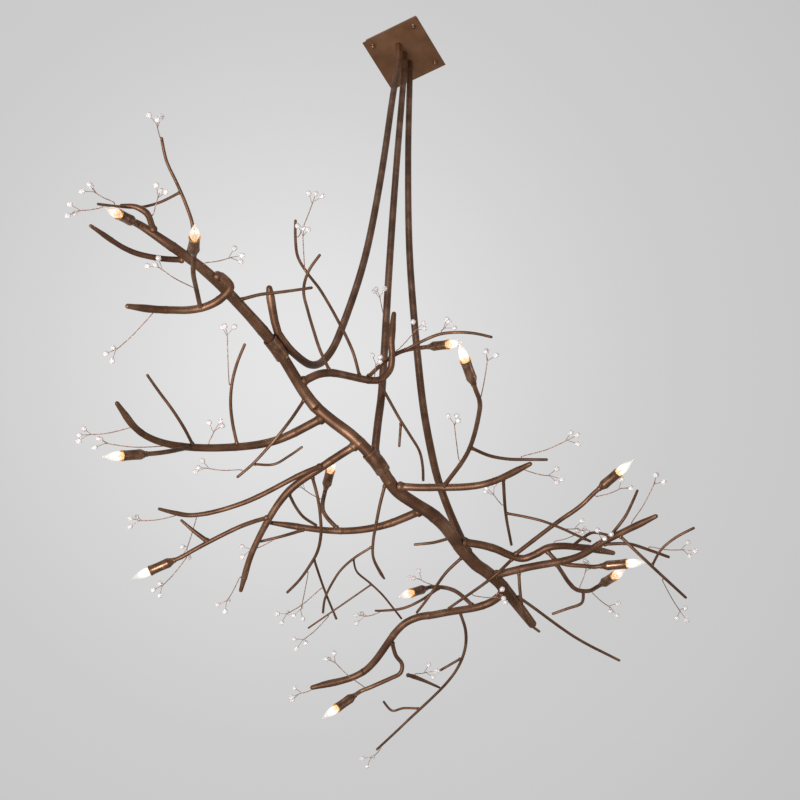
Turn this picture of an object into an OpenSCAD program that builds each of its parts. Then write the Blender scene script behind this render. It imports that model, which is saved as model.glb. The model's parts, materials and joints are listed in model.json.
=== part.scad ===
// Branch chandelier: a bare forged-looking bough, hung level on three long bent tubes
// from a square ceiling canopy. Twelve candle lamps sit on thin arms, and wire sprigs
// with clear beads grow from the twigs. Millimetres, +Z up, origin at the middle of the
// canopy's ceiling face, and X runs along the bough.

/* [Canopy] */
// Side of the square cover plate
cover_side = 203; // [196:1:230]
// Thickness of the cover plate
cover_t = 3; // [2:0.5:5]
// Ceiling to the underside of the cover plate
canopy_depth = 28; // [26:1:40]
// Step in from the cover's edge to the canopy's walls
wall_inset = 8; // [4:1:12]
// Thickness of the canopy's walls
wall_t = 2; // [1.5:0.5:3]
// Spacing of the four ball nuts
nut_pitch = 152; // [146:1:158]
// Diameter of a ball nut
ball_d = 14; // [12:0.5:16]
// Diameter of the studs that carry the canopy
stud_d = 5; // [4:0.5:6]

/* [Ceiling plate] */
// Thickness of the plate on the ceiling
ceiling_plate_t = 3; // [2:0.5:4]
// Spacing of the ceiling screws
screw_pitch = 100; // [80:1:110]
// Diameter of the ceiling screw holes
screw_hole_d = 6.6; // [5:0.1:8]
// Diameter of the hole for the supply leads
lead_hole_d = 40; // [30:1:50]

/* [Stems] */
// Ceiling to the middle of the bough
drop = 2000; // [1800:10:2200]
// Outer diameter of the three stem tubes
stem_d = 20; // [18:0.5:21]
// Spacing of the stems at the canopy
stem_pitch = 38; // [36:1:44]
// Diameter of the threaded nipples on the stems
nipple_d = 10; // [8:0.5:12]
// Bore of the nipples for the lamp leads
nipple_bore_d = 7; // [5:0.5:7]
// Width across flats of the stem nuts
stem_nut_af = 17; // [15:0.5:20]
// Thickness of the stem nuts
stem_nut_t = 5; // [4:0.5:6]
// Thickness of the stiffening plate that the nuts pull on
stiffener_t = 4; // [3:0.5:5]
// Width of the stiffening plate
stiffener_w = 44; // [36:1:50]

/* [Bough] */
// Diameter at the bough's thin left tip
bough_tip_d = 13; // [11:0.5:15]
// Diameter at a quarter of its length
bough_left_d = 26; // [24:0.5:28]
// Diameter at the middle
bough_mid_d = 30; // [28:0.5:32]
// Greatest diameter, where the right stem lands
bough_right_d = 34; // [32:0.5:36]
// Diameter at its blunt right end
bough_end_d = 22; // [18:0.5:26]
// Length of the two sleeves that join the bough's pieces
sleeve_l = 62; // [50:1:70]
// Wall of the sleeves
sleeve_wall = 3; // [2:0.5:4]

/* [Branches] */
// Root diameter of the heavy branches
heavy_d = 22; // [20:0.5:24]
// Root diameter of the lighter branches
light_d = 21; // [19:0.5:22]
// Diameter at the branches' tips
branch_tip_d = 14; // [12:0.5:15]
// Root diameter of the twigs
twig_d = 8.5; // [7:0.5:9]
// Diameter at the twigs' tips
twig_tip_d = 7; // [5:0.5:8]

/* [Lamps] */
// Diameter of the lamp arms
arm_d = 11; // [9:0.5:12]
// Diameter of the lamp cups
cup_d = 24; // [22:0.5:25]
// Wall of the lamp cups
cup_wall = 1; // [0.8:0.1:1.2]
// Length of the cone under a cup
cone_l = 17; // [12:1:24]
// Length of the cup above its cone
cup_l = 50; // [46:1:58]
// How far the cup's lip flares out
lip_flare = 1.3; // [0.5:0.1:2]
// Depth of the lamp holder's mouth below the lip
holder_recess = 12; // [8:1:16]
// Diameter of the lamp holder's shell
holder_d = 17; // [16:0.5:18]
// Diameter of the bulb's screw cap
cap_d = 11.9; // [11.5:0.1:12.1]
// Length of the bulb's screw cap
cap_l = 20; // [18:1:22]
// Greatest diameter of the bulb
bulb_d = 22; // [20:0.5:23]
// Length of the bulb's glass
glass_l = 67; // [60:1:76]

/* [Sprigs] */
// Diameter of the copper wire
wire_d = 2; // [1.6:0.1:2.4]
// Greatest diameter of a clear bead
bead_d = 13; // [10:0.5:15]
// Length of a clear bead
bead_l = 14; // [11:0.5:16]
// Length of the wires that fan out at a sprig's fork
prong_l = 20; // [16:1:26]

/* [Fits] */
// Gap left for paint and weld where a round piece meets another
weld_gap = 0.35; // [0.2:0.05:0.4]
// Gap between a bulb's cap and its holder
cap_gap = 0.35; // [0.3:0.05:0.5]
// Gap round a screw or nipple in its hole
hole_gap = 0.3; // [0.2:0.05:0.5]

/* [Hidden] */

bronze = [0.30, 0.21, 0.15];
dark_bronze = [0.24, 0.17, 0.12];
copper = [0.72, 0.45, 0.30];
clear = [0.93, 0.94, 0.95];
zinc = [0.72, 0.73, 0.74];
black = [0.10, 0.10, 0.10];

// Sides and ring spacing of the swept tubes
bough_sides = 16;
branch_sides = 10;
stem_sides = 12;
arm_sides = 8;
twig_sides = 6;
bough_step = 48;
stem_step = 100;
branch_step = 40;
arm_step = 34;
twig_step = 55;
curve_steps = 10;

// ---- Curves, and limbs that grow from them ----

function unit(v) = v / norm(v);

// Smooth curve of one stretch between way points i and i + 1
function bend(p, i, t) =
    let (b = p[i], c = p[i + 1],
         a = i > 0 ? p[i - 1] : 2 * b - c,
         d = i < len(p) - 2 ? p[i + 2] : 2 * c - b)
    0.5 * (2 * b + (c - a) * t + (2 * a - 5 * b + 4 * c - d) * t * t
           + (3 * b - a - 3 * c + d) * t * t * t);

// Smooth curve through all way points
function curve(p) =
    [for (i = [0 : len(p) - 2], k = [0 : curve_steps - 1]) bend(p, i, k / curve_steps),
     p[len(p) - 1]];

// Distance run along a line of points, at each of them
function run(c) =
    [for (i = 0, s = 0; i < len(c);
          s = i + 1 < len(c) ? s + norm(c[i + 1] - c[i]) : s, i = i + 1) s];

// Point at distance s along a line of points
function along(c, r, s) =
    [for (k = [0 : 2]) lookup(s, [for (i = [0 : len(c) - 1]) [r[i], c[i][k]]])];

// Even stations from s0 to s1
function stations(s0, s1, step) =
    let (n = max(1, ceil((s1 - s0) / step))) [for (i = [0 : n]) s0 + (s1 - s0) * i / n];

// A limb: its ring centres, the run along them, its girths as [share of length, diameter],
// and its seat on the limb that carries it as [centre, direction, radius]
function total(l) = l[1][len(l[1]) - 1];
function spot(l, s) = along(l[0], l[1], s);
function heading(l, s) = unit(spot(l, min(s + 0.5, total(l))) - spot(l, max(s - 0.5, l[1][0])));
function radius(l, s) = lookup(s / total(l), l[2]) / 2;
function seat_on(l, s) = [spot(l, s), heading(l, s), radius(l, s)];

// A limb that grows from a seat through way points. Its first ring stands just clear of
// the seat, and its far end leaves room for the rounded tip.
function rooted(seat, way, d_root, d_tip, step, blunt = true, lead = 0) =
    let (c = curve(concat([seat[0]], way)), r = run(c), far = r[len(r) - 1],
         toward = unit(along(c, r, 2 * seat[2] + d_root / 2) - seat[0]),
         lean = abs(toward * seat[1]),
         square = max(sqrt(1 - lean * lean), 0.3),
         clear = (seat[2] + d_root / 2 * lean) / square + 2,
         last = lead > 0 ? r[len(r) - 1 - curve_steps] : far - (blunt ? 0.2 * d_tip : 0),
         at = concat([0], stations(clear, last, step), lead > 0 ? [far] : []),
         pts = [for (s = at) along(c, r, s)])
    [pts, run(pts), [[0, d_root], [1, d_tip]], seat];

// How far a limb's skin stands above its seat line towards u, w away from a station
function rise(l, s, w, u) =
    let (seat = seat_on(l, s))
    (spot(l, s + w) - seat[0] - w * seat[1]) * u + radius(l, s + w) - seat[2];

// A seat on a limb for a child of diameter d that leaves towards v. Its radius is the
// highest that the skin stands under the child's foot.
function bedded(l, s, d, v) =
    let (seat = seat_on(l, s), u = unit(v - seat[1] * (seat[1] * v)),
         lean = unit(v) * seat[1], square = max(sqrt(1 - lean * lean), 0.3),
         mid = seat[2] * lean / square, half = d / 2 / square)
    [seat[0], seat[1],
     seat[2] + max([for (k = [-1 : 0.5 : 1]) rise(l, s, mid + k * half, u)])];

// A limb that grows from another one, with way points measured from its root
function limb(parent, station, way, d_root, d_tip, step = branch_step, blunt = true, lead = 0) =
    let (root = min(d_root, 1.7 * radius(parent, station)),
         seat = bedded(parent, station, root, way[0]))
    rooted(seat, [for (w = way) seat[0] + w], root, min(d_tip, root), step, blunt, lead);

// Directions turned along a limb without twist, one for each heading
function frames(t) =
    let (n0 = unit(cross(t[0], abs(t[0].z) < 0.8 ? [0, 0, 1] : [1, 0, 0])))
    [for (i = 0, n = n0; i < len(t);
          n = i + 1 < len(t) ? unit(n - t[i + 1] * (n * t[i + 1])) : n, i = i + 1) n];

function ring(c, t, n, r, sides) =
    let (b = cross(t, n))
    [for (j = [0 : sides - 1])
        c + r * (cos(360 * j / sides) * n + sin(360 * j / sides) * b)];

// Where a line from q against t meets the round limb that carries this one
function cope(q, t, seat) =
    let (a = seat[1], w = q - seat[0], wp = w - a * (a * w), tp = t - a * (a * t),
         r = seat[2] + weld_gap, aa = tp * tp, bb = wp * tp,
         under = max(bb * bb - aa * (wp * wp - r * r), 0))
    q - t * ((bb - sqrt(under)) / aa);

// Skin over rings of equal count, with the first and last ring closed to a point
module skin(first, rings, last, sides) {
    m = len(rings);
    pts = concat([first], [for (r = rings, p = r) p], [last]);
    polyhedron(pts, concat(
        [for (j = [0 : sides - 1]) [0, 1 + j, 1 + (j + 1) % sides]],
        [for (i = [0 : m - 2], j = [0 : sides - 1])
            let (a = 1 + i * sides + j, b = 1 + i * sides + (j + 1) % sides)
            each [[a, a + sides, b], [b, a + sides, b + sides]]],
        [for (j = [0 : sides - 1])
            [m * sides + 1, 1 + (m - 1) * sides + (j + 1) % sides, 1 + (m - 1) * sides + j]]
    ));
}

// Round tube along a limb's own rings from number i0 to i1, with square ends. start
// shifts the first ring a little along the limb.
module tube(l, i0, i1, sides, start = 0) {
    t = [for (i = [i0 : i1]) heading(l, l[1][i])];
    c = [for (i = [i0 : i1]) l[0][i] + (i == i0 ? start * t[0] : [0, 0, 0])];
    n = i1 - i0;
    f = frames(t);
    rings = [for (i = [0 : n]) ring(c[i], t[i], f[i], radius(l, l[1][i0 + i]), sides)];
    skin(c[0], rings, c[n], sides);
}

// A whole limb: coped where it sits on the one that carries it, blunt and a little
// rounded at its free tip. facing squares the far end to a direction instead.
module grow(l, sides, facing = undef) {
    pts = l[0];
    seat = l[3];
    n = len(pts) - 1;
    t = [for (i = [1 : n]) i == n && !is_undef(facing) ? facing : heading(l, l[1][i])];
    f = frames(t);
    body = [for (i = [1 : n]) ring(pts[i], t[i - 1], f[i - 1], radius(l, l[1][i]), sides)];
    down = unit(pts[1] - seat[0]);
    half = ring(pts[1], t[0], f[0], radius(l, l[1][1]) / 2, sides);
    foot = [[for (q = half) cope(q, down, seat)], [for (q = body[0]) cope(q, down, seat)]];
    r_tip = radius(l, total(l));
    tip = pts[n] + t[n - 1] * (is_undef(facing) ? 0.4 * r_tip : 0);
    cap = is_undef(facing) ? [ring(tip, t[n - 1], f[n - 1], 0.65 * r_tip, sides)] : [];
    skin(cope(pts[1], down, seat), concat(foot, body, cap), tip, sides);
}

// A sleeve round a limb from s0 to s1, thickest at its middle
module sleeve(l, s0, s1, sides, wall) {
    n = 4;
    at = [for (i = [0 : n]) s0 + (s1 - s0) * i / n];
    t = [for (s = at) heading(l, s)];
    f = frames(t);
    fit = [for (s = at) sleeve_fit(l, s, sides)];
    share = [0.4, 0.9, 1, 0.9, 0.4];
    outer = [for (i = [0 : n]) ring(spot(l, at[i]), t[i], f[i], fit[i] + wall * share[i], sides)];
    inner = [for (i = [n : -1 : 0]) ring(spot(l, at[i]), t[i], f[i], fit[i], sides)];
    rings = concat(outer, inner);
    m = len(rings);
    polyhedron([for (r = rings, p = r) p],
        [for (i = [0 : m - 1], j = [0 : sides - 1])
            let (a = i * sides + j, b = i * sides + (j + 1) % sides,
                 c = ((i + 1) % m) * sides + (j + 1) % sides, d = ((i + 1) % m) * sides + j)
            each [[a, d, b], [b, d, c]]]);
}
function sleeve_fit(l, s, sides) = (radius(l, s) + weld_gap) / cos(180 / sides);

// ---- The bough and the three stems ----

mid_z = -drop;
bough_way = [
    [-862, 226, mid_z + 114], [-845, 225, mid_z + 124], [-805, 195, mid_z + 102],
    [-670, 165, mid_z + 120],
    [-535, 155, mid_z + 135], [-375, 150, mid_z + 140], [-210, 145, mid_z + 100],
    [-115, 85, mid_z + 40], [-35, 60, mid_z + 10], [60, 55, mid_z - 10],
    [185, 5, mid_z - 25], [335, -5, mid_z - 40], [430, -35, mid_z - 50],
    [620, -50, mid_z - 70]];
bough_girths = [[0, bough_tip_d], [0.08, bough_left_d - 4], [0.25, bough_left_d],
    [0.55, bough_mid_d], [0.82, bough_right_d], [0.93, bough_right_d - 5],
    [0.975, bough_end_d + 3], [1, bough_end_d]];

// The bough's rings, set clear of the roots of the branches. The run starts where the
// lamp on its left tip starts, and its three pieces butt inside the sleeves at two rings.
bough_start = 48;
bough_at = [48, 68, 95, 140, 180, 235, 260, 310, 350, 410, 460, 510, 560, 605, 645, 690,
    730, 755, 800, 855, 905, 948, 970, 1008, 1050, 1105, 1155, 1200, 1230, 1285, 1298,
    1360, 1385, 1440, 1500, 1560, 1605, 1622];
first_joint = 12;
second_joint = 21;
bough_curve = curve(bough_way);
bough_run = run(bough_curve);
bough_points = [for (s = bough_at) along(bough_curve, bough_run, s - bough_start)];
bough = [bough_points, [for (s = run(bough_points)) s + bough_start], bough_girths, undef];
bough_last = len(bough_at) - 1;

stem_top_z = -canopy_depth;
stem_lead_in = 100;

// Left stem: comes down beside the bough, is welded to the flank of its left sleeve for
// a hand's breadth, and ends turned up
side_at = bough[1][first_joint];
side_out = [0, -0.6, 0.8];
side = unit(side_out - heading(bough, side_at) * (side_out * heading(bough, side_at)));
side_gap = sleeve_fit(bough, side_at, bough_sides) + sleeve_wall + stem_d / 2
    + 2.5 * weld_gap;
lap_a = spot(bough, side_at - 24) + side_gap * side;
lap_b = spot(bough, side_at + 24) + side_gap * side;
left_way = [
    lap_a + [-130, -45, 62], lap_a + [-60, -18, 26], lap_a, lap_b,
    lap_b + [77, 5, 32], lap_b + [136, 10, 80], [-174, 136, -0.847 * drop],
    [-150, 112, -0.79 * drop], [-106, 70, -0.62 * drop], [-74, 40, -0.41 * drop],
    [-50, 15, -0.18 * drop],
    [-stem_pitch, 0, stem_top_z - stem_lead_in], [-stem_pitch, 0, stem_top_z]];
left_curve = curve(left_way);
left_run = run(left_curve);
left_far = left_run[len(left_run) - 1];
lap_run = [left_run[2 * curve_steps], left_run[3 * curve_steps]];
left_at = concat(stations(0, lap_run[0], 32), stations(lap_run[1], lap_run[1] + 360, 40),
    stations(lap_run[1] + 450, left_far, stem_step));
left_points = [for (s = left_at) along(left_curve, left_run, s)];
left_stem = [left_points, run(left_points), [[0, stem_d], [1, stem_d]], undef];

// A stem that lands on a seat: way points near its foot, then on from the ceiling
function landed_stem(seat, foot, upper, x) =
    rooted(seat, concat([for (w = foot) seat[0] + w], upper,
        [[x, 0, stem_top_z - stem_lead_in], [x, 0, stem_top_z]]),
        stem_d, stem_d, stem_step, false);

middle_at_s = bough[1][second_joint] - 10;
middle_seat = [spot(bough, middle_at_s), heading(bough, middle_at_s),
    sleeve_fit(bough, middle_at_s, bough_sides) + sleeve_wall];
middle_stem = landed_stem(middle_seat, [[-3, -9, 100]],
    [[-42, 45, -0.86 * drop], [-32, 32, -0.6 * drop], [-23, 16, -0.36 * drop]], 0);
right_stem = landed_stem(bedded(bough, 1330, stem_d, [0, 0, 1]),
    [[-45, 12, 70], [-115, 20, 150], [-190, 15, 270]],
    [[100, 10, -0.78 * drop], [60, 16, -0.54 * drop], [42, 10, -0.3 * drop]], stem_pitch);

// ---- Branches: station on what carries it, way points from there, root and tip ----

branch_1 = limb(bough, 110, [[-60, -15, 5], [-85, 5, 10], [-100, 30, 10]],
    light_d - 5, branch_tip_d - 2);
branch_2 = limb(bough, 215, [[-45, 40, -25], [-125, 75, -65], [-245, 90, -105]],
    light_d - 7, branch_tip_d - 3);
branch_3 = limb(bough, 285,
    [[20, -30, -5], [35, -30, -40], [35, 45, -55], [-20, 120, -75], [-90, 160, -115]],
    heavy_d, branch_tip_d + 2);
branch_4 = limb(bough, 775,
    [[-20, 130, -40], [-90, 230, -80], [-185, 310, -120], [-275, 345, -140],
     [-380, 340, -140]], heavy_d, branch_tip_d + 1);
branch_6 = limb(bough, 880,
    [[0, 95, -30], [10, 215, -70], [90, 350, -120], [175, 440, -160]],
    light_d, branch_tip_d);
branch_5 = limb(branch_6, 100,
    [[-25, 50, -30], [-25, 210, -50], [-55, 340, -60], [-125, 400, -70]],
    light_d - 7, branch_tip_d - 3);
branch_7 = limb(bough, 1130, [[0, 125, 0], [-50, 230, -10], [-155, 360, -10]],
    light_d, branch_tip_d);
branch_8 = limb(bough, 667,
    [[31, -62, 37], [175, -115, 125], [185, -155, 165], [140, -180, 205],
     [100, -210, 265]], heavy_d - 2, branch_tip_d + 3);
branch_9 = limb(bough, 1475,
    [[15, 75, -5], [-30, 175, -25], [-60, 270, -45], [25, 435, -75], [-15, 575, -105]],
    heavy_d - 1, branch_tip_d + 3);
branch_10 = limb(bough, 1025, [[30, -75, -15], [75, -210, -30], [45, -355, -55]],
    light_d - 1, branch_tip_d + 1);
branch_11 = limb(bough, 1410,
    [[-5, -105, -20], [-10, -235, -50], [-45, -335, -65], [-80, -485, -80]],
    light_d, branch_tip_d + 1);
branch_12 = limb(bough, 1260,
    [[60, -65, 0], [130, -125, -10], [130, -205, -5], [185, -275, 5], [250, -330, 15]],
    light_d, branch_tip_d + 2);

// ---- Lamp arms: way points, then the way the lamp points as turn about Z, tilt up ----

arm_lead = 20;
function aim(turn, tilt) = [cos(tilt) * cos(turn), cos(tilt) * sin(turn), sin(tilt)];

// The arm's last stretch runs straight along the way its lamp points
function arm(parent, station, way, turn, tilt) =
    let (n = len(way) - 1, tip = way[n], d = aim(turn, tilt))
    limb(parent, station, concat([for (i = [0 : n - 1]) way[i]], [tip - arm_lead * d, tip]),
        arm_d, arm_d, arm_step, false, arm_lead);

arm_2 = arm(branch_3, 150, [[-65, -35, -30], [-140, -80, -80], [-196, -121, -101]], -144, -21);
arm_3 = arm(branch_4, 355, [[-75, 0, -85], [-130, 20, -135]], 145, -30);
arm_4 = arm(branch_6, 295, [[-35, 60, -35], [-45, 160, -60], [-50, 240, -80]], 100, -15);
arm_5 = arm(branch_7, 230, [[-30, 25, 40], [-30, 35, 80], [-48, 16, 118]], -140, -2);
arm_6 = arm(branch_8, 220, [[25, -45, 75], [55, -80, 125], [89, -135, 145]], -95, -27);
arm_7 = arm(branch_10, 125, [[-100, -120, -25], [-240, -220, -65], [-330, -250, -85]], -170, 10);
arm_8 = arm(branch_12, 155, [[-55, -145, 0], [-75, -220, 5], [-98, -285, 17]], -110, 5);
arm_9 = arm(branch_12, 245, [[25, -26, -38], [36, -84, -66], [37, -129, -86]], -80, -10);
arm_10 = arm(branch_11, 185, [[100, -5, -10], [135, -40, -5], [135, -65, 5]], -125, -20);
arm_11 = arm(branch_9, 100, [[-20, 35, 50], [-15, 75, 90], [-7, 138, 122]], 155, -41);
arm_12 = arm(branch_9, 350, [[45, 10, -20], [85, 10, -40], [70, 75, -70], [60, 140, -90]], 125, -45);

lamps = concat([[bough[0][0], -heading(bough, bough_start)]],
    [for (a = [arm_2, arm_3, arm_4, arm_5, arm_6, arm_7, arm_8, arm_9, arm_10, arm_11, arm_12])
        [a[0][len(a[0]) - 1], heading(a, total(a))]]);

// ---- Twigs ----

function twig(parent, station, way) =
    limb(parent, station, way, twig_d, twig_tip_d, twig_step);

twig_1 = twig(bough, 205, [[-45, -40, 40], [-125, -55, 70], [-195, -60, 100], [-240, -75, 120]]);
twig_2 = twig(twig_1, 155, [[-10, 50, -20], [-30, 100, -30], [-90, 160, -50]]);
twig_3 = twig(branch_4, 345, [[-90, -15, 5], [-165, -10, 25], [-225, -10, 35]]);
twig_4 = twig(branch_4, 235, [[-90, -35, 30], [-160, -85, 60], [-215, -150, 80]]);
twig_7 = twig(arm_4, 175, [[-25, 5, 20], [-45, 20, 35], [-70, 40, 45]]);
twig_8 = twig(bough, 385, [[15, -40, 15], [50, -105, 30], [80, -160, 45]]);
twig_9 = twig(branch_8, 200, [[-70, -10, 50], [-215, -15, 90], [-330, -10, 110], [-420, -55, 130]]);
twig_10 = twig(branch_8, 90, [[-75, -10, 15], [-205, -45, 45], [-250, -75, 55], [-285, -135, 65]]);
twig_11 = twig(bough, 705, [[10, 65, -72], [40, 165, -113], [52, 225, -130]]);
twig_12 = twig(twig_11, 220, [[30, -45, 5], [20, -130, 15]]);
twig_13 = twig(branch_7, 310, [[-25, 35, -26], [-55, 105, -45]]);
twig_14 = twig(branch_6, 215, [[85, 15, 5], [141, 0, 5]]);
twig_15 = twig(branch_6, 140, [[85, 25, -40], [175, 80, -70], [240, 180, -90], [255, 220, -95]]);
twig_16 = twig(twig_15, 240, [[108, 33, -2], [219, 60, -8]]);
twig_19 = twig(bough, 995, [[75, 70, -50], [170, 135, -70], [245, 140, -80]]);
twig_17 = twig(twig_19, 195, [[15, 90, -15], [65, 170, -35], [115, 210, -45]]);
twig_18 = twig(twig_17, 60, [[45, 20, 5], [135, 0, -5], [245, -5, -15]]);
twig_20 = twig(twig_18, 110, [[-5, 75, -35], [15, 195, -55]]);
twig_21 = twig(arm_11, 150, [[-20, 40, -40], [-30, 95, -60], [-70, 160, -70]]);
twig_22 = twig(branch_10, 285, [[115, 50, 0], [230, 90, 5]]);
twig_23 = twig(twig_22, 125, [[40, -85, -35], [150, -160, -45]]);
twig_24 = twig(branch_11, 350, [[-30, -65, 25], [-90, -125, 35]]);
twig_25 = twig(branch_11, 385, [[82, -39, -45], [231, -77, -60]]);
twig_26 = twig(twig_25, 115, [[-50, -60, 5], [-60, -140, 15]]);
twig_27 = twig(branch_12, 315, [[-45, -55, -28], [-68, -101, -50], [-62, -121, -68]]);
twig_28 = twig(branch_11, 320, [[20, -70, -10], [105, -145, -20]]);
twig_29 = twig(bough, 1310, [[20, 70, -20], [60, 135, -34], [95, 195, -44]]);
twig_30 = twig(branch_9, 140, [[95, 30, -20], [185, 120, -40], [265, 305, -70], [320, 425, -80]]);
twig_31 = twig(twig_30, 280, [[-90, 20, -20], [-135, 45, -30]]);
twig_32 = twig(twig_30, 160, [[8, 72, -10]]);
twig_33 = twig(twig_30, 370, [[-15, 42, 8], [-10, 75, 10], [-55, 85, 20]]);
twig_34 = twig(branch_8, 265, [[115, -5, -50], [160, -35, -140], [165, -40, -240]]);
twig_35 = twig(twig_34, 125, [[45, 30, -40]]);
twig_36 = twig(arm_7, 175, [[70, -45, 5], [130, -145, 5]]);
twig_37 = twig(arm_6, 155, [[6, -101, 15], [31, -176, 5], [66, -226, -5]]);
twig_38 = twig(branch_12, 160, [[0, 70, -45], [60, 225, -35]]);
twig_39 = twig(bough, 1475, [[45, -25, -5], [220, -90, -25], [355, -160, -35]]);
twig_40 = twig(branch_11, 80, [[45, 20, -30], [130, 45, -50], [180, 30, -60]]);
twig_41 = twig(arm_10, 125, [[40, 15, 0], [50, 70, 5], [50, 110, 5]]);
twig_42 = twig(bough, 1245, [[15, 55, 20], [5, 115, 30]]);

left_twigs = [twig_1, twig_2, twig_3, twig_4, twig_8, twig_9, twig_10];
middle_twigs = [twig_7, twig_11, twig_12, twig_13, twig_14, twig_15, twig_16, twig_17,
    twig_18, twig_19, twig_20];
low_twigs = [twig_21, twig_29, twig_30, twig_31, twig_32, twig_33, twig_38, twig_39,
    twig_40, twig_41, twig_42];
right_twigs = [twig_22, twig_23, twig_24, twig_25, twig_26, twig_27, twig_28, twig_34,
    twig_35, twig_36, twig_37];

// ---- Sprigs: what carries it, station, way to its fork, turn of its three beads ----

sprigs = [
    [twig_1, 275, [-45, -15, 0], 0], [twig_2, 155, [-50, 25, 10], 40],
    [twig_2, 180, [-20, 55, -10], 80], [branch_1, 45, [-27, -40, 24], 20],
    [bough, 245, [20, -75, 10], 60], [arm_2, 90, [-90, 40, 0], 10],
    [branch_3, 255, [45, 140, -20], 30], [twig_4, 165, [-120, -60, 30], 70],
    [branch_4, 520, [-35, 105, -10], 20], [branch_4, 410, [-90, 120, -20], 50],
    [branch_4, 310, [-20, -30, 30], 90], [twig_11, 250, [-55, 75, 0], 15],
    [branch_5, 400, [-25, 100, 0], 45], [branch_5, 355, [75, 75, -20], 0],
    [arm_4, 235, [50, 100, -20], 30], [twig_9, 410, [-60, -85, 20], 75],
    [twig_10, 280, [-85, -35, 30], 25], [branch_6, 480, [45, 80, -10], 55],
    [twig_13, 90, [8, 76, 0], 90], [twig_15, 285, [110, 80, -10], 35],
    [twig_16, 110, [40, 135, 0], 65], [twig_20, 140, [45, 100, -10], 95],
    [arm_5, 115, [-55, 30, 10], 20], [twig_21, 180, [0, 50, 0], 50],
    [arm_12, 205, [-105, 35, 30], 80], [branch_9, 620, [5, 50, 0], 10],
    [twig_31, 115, [15, -35, 10], 40], [twig_30, 545, [22, 45, -12], 70],
    [arm_11, 170, [-40, 30, 10], 0], [twig_36, 135, [5, -125, 10], 30],
    [branch_10, 345, [50, -55, -10], 60], [arm_8, 280, [5, -75, -10], 90],
    [branch_11, 430, [-95, -100, 20], 20], [twig_28, 125, [45, -80, 0], 50],
    [branch_11, 315, [-50, -35, -30], 80], [arm_7, 110, [-105, -35, 20], 10],
    [arm_7, 375, [-85, -65, 20], 40], [arm_6, 110, [-20, -85, 40], 70],
    [branch_8, 250, [-38, -28, 8], 0], [twig_22, 100, [-42, 12, 14], 90],
    [twig_25, 165, [125, 10, -10], 60], [arm_10, 150, [75, -20, -10], 90],
    [arm_10, 115, [-40, -40, 20], 20], [twig_38, 160, [10, -70, -35], 50],
    [arm_8, 145, [40, -50, 0], 80], [branch_12, 265, [12, -62, 26], 10],
    [twig_37, 110, [-15, -20, 0], 40], [middle_stem, 520, [-80, -25, 20], 70]];

// A sprig's wire leaves its limb steeply, turns at a knee and runs to the fork
fork_lift = [25, 40, 50];
prong_back = 4;
function sprig_seat(s) = seat_on(s[0], s[1]);
function leave(s) =
    let (seat = sprig_seat(s), t = unit(s[2]))
    unit(0.8 * unit(t - seat[1] * (seat[1] * t)) + 0.6 * t);
function knee(s) = let (seat = sprig_seat(s)) seat[0] + leave(s) * (seat[2] + 7);
function fork(s) = sprig_seat(s)[0] + s[2];
function last_run(s) = unit(fork(s) - knee(s));
function prong_out(s, k) =
    let (t = last_run(s), f = frames([t])[0], b = cross(t, f), q = s[3] + 120 * k,
         a = fork_lift[k])
    unit(cos(a) * t + sin(a) * (cos(q) * f + sin(q) * b));
function prong_root(s, k) =
    fork(s) - last_run(s) * k * min(prong_back, norm(fork(s) - knee(s)) / 3);
function prong_tip(s, k) = prong_root(s, k) + prong_out(s, k) * prong_l;

// ---- Modules: canopy ----

wall_side = cover_side - 2 * wall_inset;
cover_top_z = -canopy_depth + cover_t;
plate_side = wall_side - 2 * wall_t - 4;
stiffener_l = 2 * stem_pitch + stiffener_w;
stud_tip_z = -canopy_depth - ball_d * 0.55;

module at_nuts() {
    for (x = [-1, 1], y = [-1, 1]) translate([x * nut_pitch / 2, y * nut_pitch / 2, 0]) children();
}

module at_stems() {
    for (x = [-1 : 1]) translate([x * stem_pitch, 0, 0]) children();
}

module canopy() color(bronze) {
    difference() {
        union() {
            translate([-cover_side / 2, -cover_side / 2, -canopy_depth])
                cube([cover_side, cover_side, cover_t]);
            translate([-wall_side / 2, -wall_side / 2, -canopy_depth])
                cube([wall_side, wall_side, canopy_depth]);
        }
        translate([-wall_side / 2 + wall_t, -wall_side / 2 + wall_t, cover_top_z])
            cube([wall_side - 2 * wall_t, wall_side - 2 * wall_t, canopy_depth]);
        at_nuts() translate([0, 0, -canopy_depth - 1]) cylinder(h = canopy_depth, d = stud_d + 2 * hole_gap);
        at_stems() translate([0, 0, -canopy_depth - 1]) cylinder(h = canopy_depth, d = nipple_d + 2 * hole_gap);
    }
}

module ceiling_plate() color(zinc) {
    difference() {
        translate([-plate_side / 2, -plate_side / 2, -ceiling_plate_t])
            cube([plate_side, plate_side, ceiling_plate_t]);
        translate([0, 0, -ceiling_plate_t - 1]) cylinder(h = ceiling_plate_t + 2, d = lead_hole_d);
        for (x = [-1, 1], y = [-1, 1])
            translate([x * screw_pitch / 2, y * screw_pitch / 2, -ceiling_plate_t - 1])
                cylinder(h = ceiling_plate_t + 2, d = screw_hole_d);
    }
}

module canopy_studs() color(zinc) {
    at_nuts() translate([0, 0, stud_tip_z]) cylinder(h = -ceiling_plate_t - stud_tip_z, d = stud_d);
}

module ball_nuts() color(dark_bronze) {
    at_nuts() translate([0, 0, -canopy_depth]) difference() {
        rotate_extrude() intersection() {
            translate([0, -ball_d * 0.4]) circle(d = ball_d);
            translate([0, -ball_d]) square([ball_d, ball_d]);
        }
        translate([0, 0, stud_tip_z + canopy_depth - hole_gap])
            cylinder(h = ball_d, d = stud_d + 2 * hole_gap);
    }
}

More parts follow.
